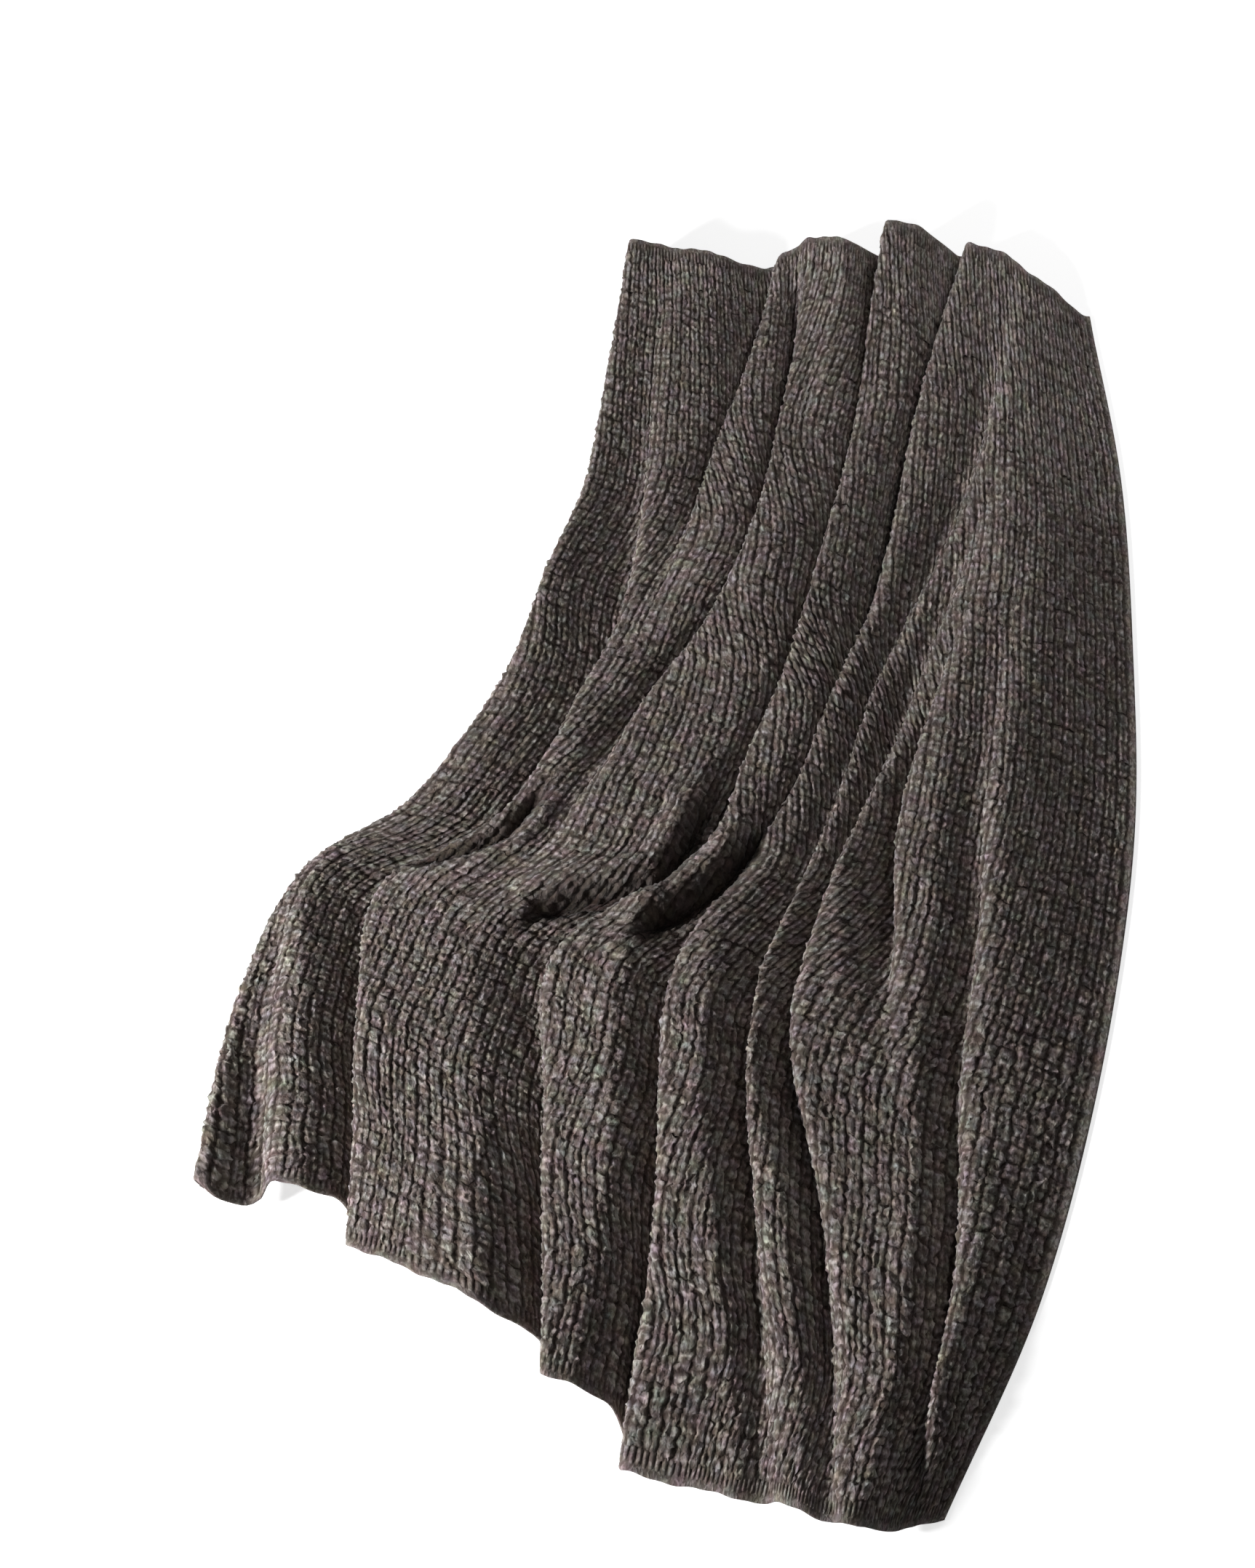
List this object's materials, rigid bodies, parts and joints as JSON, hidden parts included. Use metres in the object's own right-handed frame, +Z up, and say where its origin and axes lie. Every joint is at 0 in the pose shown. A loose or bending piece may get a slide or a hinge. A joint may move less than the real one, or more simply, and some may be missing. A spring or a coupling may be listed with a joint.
{
  "type": "seersucker throw blanket",
  "caption": "Throw blanket of puckered cotton seersucker with narrow hems, laid out loosely on a floor so that long soft folds gather towards its middle and fan out again at the lower end.",
  "frame": {"origin": "centre of the laid-out blanket's outline, on the floor it lies on", "axes": "+Y along the blanket's length towards the end that would hang over a chair back, +X across its width to the right, +Z up out of the floor"},
  "size_m": [1.0481, 1.5443, 0.0722],
  "materials": {
    "cotton": "matt puckered cotton weave in a warm dark grey"
  },
  "bodies": {
    "root": {"blanket": "cotton"}
  },
  "joints": []
}
